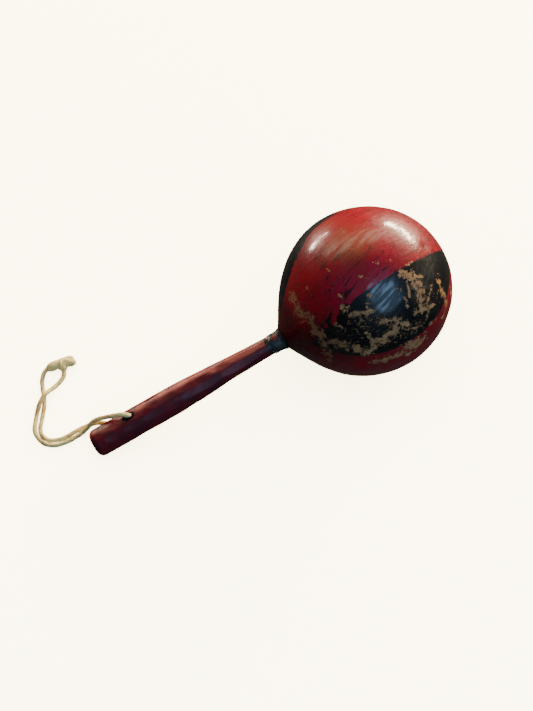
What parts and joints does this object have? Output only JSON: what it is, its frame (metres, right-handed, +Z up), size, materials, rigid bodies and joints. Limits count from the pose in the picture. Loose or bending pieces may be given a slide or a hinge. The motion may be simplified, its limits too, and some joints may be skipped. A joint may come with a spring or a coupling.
{
  "type": "maraca",
  "caption": "Painted gourd rattle on a whittled wooden stick, with loose seeds inside and a knotted cotton wrist cord through the butt.",
  "frame": {"origin": "on the table under the middle of the rattle without its cord, with the rattle lying on its side", "axes": "+X level along the stick from the butt to the gourd, +Z up; the stick's own axis rises 13 degrees towards +X"},
  "size_m": [0.2801, 0.1233, 0.1073],
  "materials": {
    "painted_gourd": "worn red paint with three black bands, satin, chipped to bare gourd",
    "painted_stick": "worn dark red paint on whittled wood",
    "black_putty": "black-painted putty, chipped",
    "cotton_cord": "aged cream cotton",
    "dry_seed": "hard dark seed"
  },
  "bodies": {
    "rattle": {"gourd_shell": "painted_gourd", "handle": "painted_stick", "neck_collar": "black_putty", "wrist_cord": "cotton_cord", "cord_knot": "cotton_cord"},
    "seed_01": {"seed_01": "dry_seed"},
    "seed_02": {"seed_02": "dry_seed"},
    "seed_03": {"seed_03": "dry_seed"},
    "seed_04": {"seed_04": "dry_seed"},
    "seed_05": {"seed_05": "dry_seed"},
    "seed_06": {"seed_06": "dry_seed"},
    "seed_07": {"seed_07": "dry_seed"},
    "seed_08": {"seed_08": "dry_seed"},
    "seed_09": {"seed_09": "dry_seed"},
    "seed_10": {"seed_10": "dry_seed"},
    "seed_11": {"seed_11": "dry_seed"},
    "seed_12": {"seed_12": "dry_seed"},
    "seed_13": {"seed_13": "dry_seed"},
    "seed_14": {"seed_14": "dry_seed"},
    "seed_15": {"seed_15": "dry_seed"},
    "seed_16": {"seed_16": "dry_seed"},
    "seed_17": {"seed_17": "dry_seed"},
    "seed_18": {"seed_18": "dry_seed"}
  },
  "joints": [
    {"name": "seed_01_swirl", "type": "hinge", "parent": "rattle", "child": "seed_01", "pos_m": [0.03966, 0, 0.0465], "axis": [0.9742, 0, 0.2258], "continuous": true},
    {"name": "seed_02_swirl", "type": "hinge", "parent": "rattle", "child": "seed_02", "pos_m": [0.04578, 0, 0.04791], "axis": [0.9742, 0, 0.2258], "continuous": true},
    {"name": "seed_03_swirl", "type": "hinge", "parent": "rattle", "child": "seed_03", "pos_m": [0.05257, 0, 0.04949], "axis": [0.9742, 0, 0.2258], "continuous": true},
    {"name": "seed_04_swirl", "type": "hinge", "parent": "rattle", "child": "seed_04", "pos_m": [0.05985, 0, 0.05118], "axis": [0.9742, 0, 0.2258], "continuous": true},
    {"name": "seed_05_swirl", "type": "hinge", "parent": "rattle", "child": "seed_05", "pos_m": [0.06742, 0, 0.05293], "axis": [0.9742, 0, 0.2258], "continuous": true},
    {"name": "seed_06_swirl", "type": "hinge", "parent": "rattle", "child": "seed_06", "pos_m": [0.07507, 0, 0.0547], "axis": [0.9742, 0, 0.2258], "continuous": true},
    {"name": "seed_07_swirl", "type": "hinge", "parent": "rattle", "child": "seed_07", "pos_m": [0.08258, 0, 0.05644], "axis": [0.9742, 0, 0.2258], "continuous": true},
    {"name": "seed_08_swirl", "type": "hinge", "parent": "rattle", "child": "seed_08", "pos_m": [0.04554, 0, 0.04786], "axis": [0.9742, 0, 0.2258], "continuous": true},
    {"name": "seed_09_swirl", "type": "hinge", "parent": "rattle", "child": "seed_09", "pos_m": [0.05134, 0, 0.0492], "axis": [0.9742, 0, 0.2258], "continuous": true},
    {"name": "seed_10_swirl", "type": "hinge", "parent": "rattle", "child": "seed_10", "pos_m": [0.05765, 0, 0.05067], "axis": [0.9742, 0, 0.2258], "continuous": true},
    {"name": "seed_11_swirl", "type": "hinge", "parent": "rattle", "child": "seed_11", "pos_m": [0.06432, 0, 0.05221], "axis": [0.9742, 0, 0.2258], "continuous": true},
    {"name": "seed_12_swirl", "type": "hinge", "parent": "rattle", "child": "seed_12", "pos_m": [0.07114, 0, 0.05379], "axis": [0.9742, 0, 0.2258], "continuous": true},
    {"name": "seed_13_swirl", "type": "hinge", "parent": "rattle", "child": "seed_13", "pos_m": [0.07795, 0, 0.05537], "axis": [0.9742, 0, 0.2258], "continuous": true},
    {"name": "seed_14_swirl", "type": "hinge", "parent": "rattle", "child": "seed_14", "pos_m": [0.05095, 0, 0.04911], "axis": [0.9742, 0, 0.2258], "continuous": true},
    {"name": "seed_15_swirl", "type": "hinge", "parent": "rattle", "child": "seed_15", "pos_m": [0.05631, 0, 0.05035], "axis": [0.9742, 0, 0.2258], "continuous": true},
    {"name": "seed_16_swirl", "type": "hinge", "parent": "rattle", "child": "seed_16", "pos_m": [0.06205, 0, 0.05169], "axis": [0.9742, 0, 0.2258], "continuous": true},
    {"name": "seed_17_swirl", "type": "hinge", "parent": "rattle", "child": "seed_17", "pos_m": [0.06802, 0, 0.05307], "axis": [0.9742, 0, 0.2258], "continuous": true},
    {"name": "seed_18_swirl", "type": "hinge", "parent": "rattle", "child": "seed_18", "pos_m": [0.07405, 0, 0.05447], "axis": [0.9742, 0, 0.2258], "continuous": true}
  ]
}
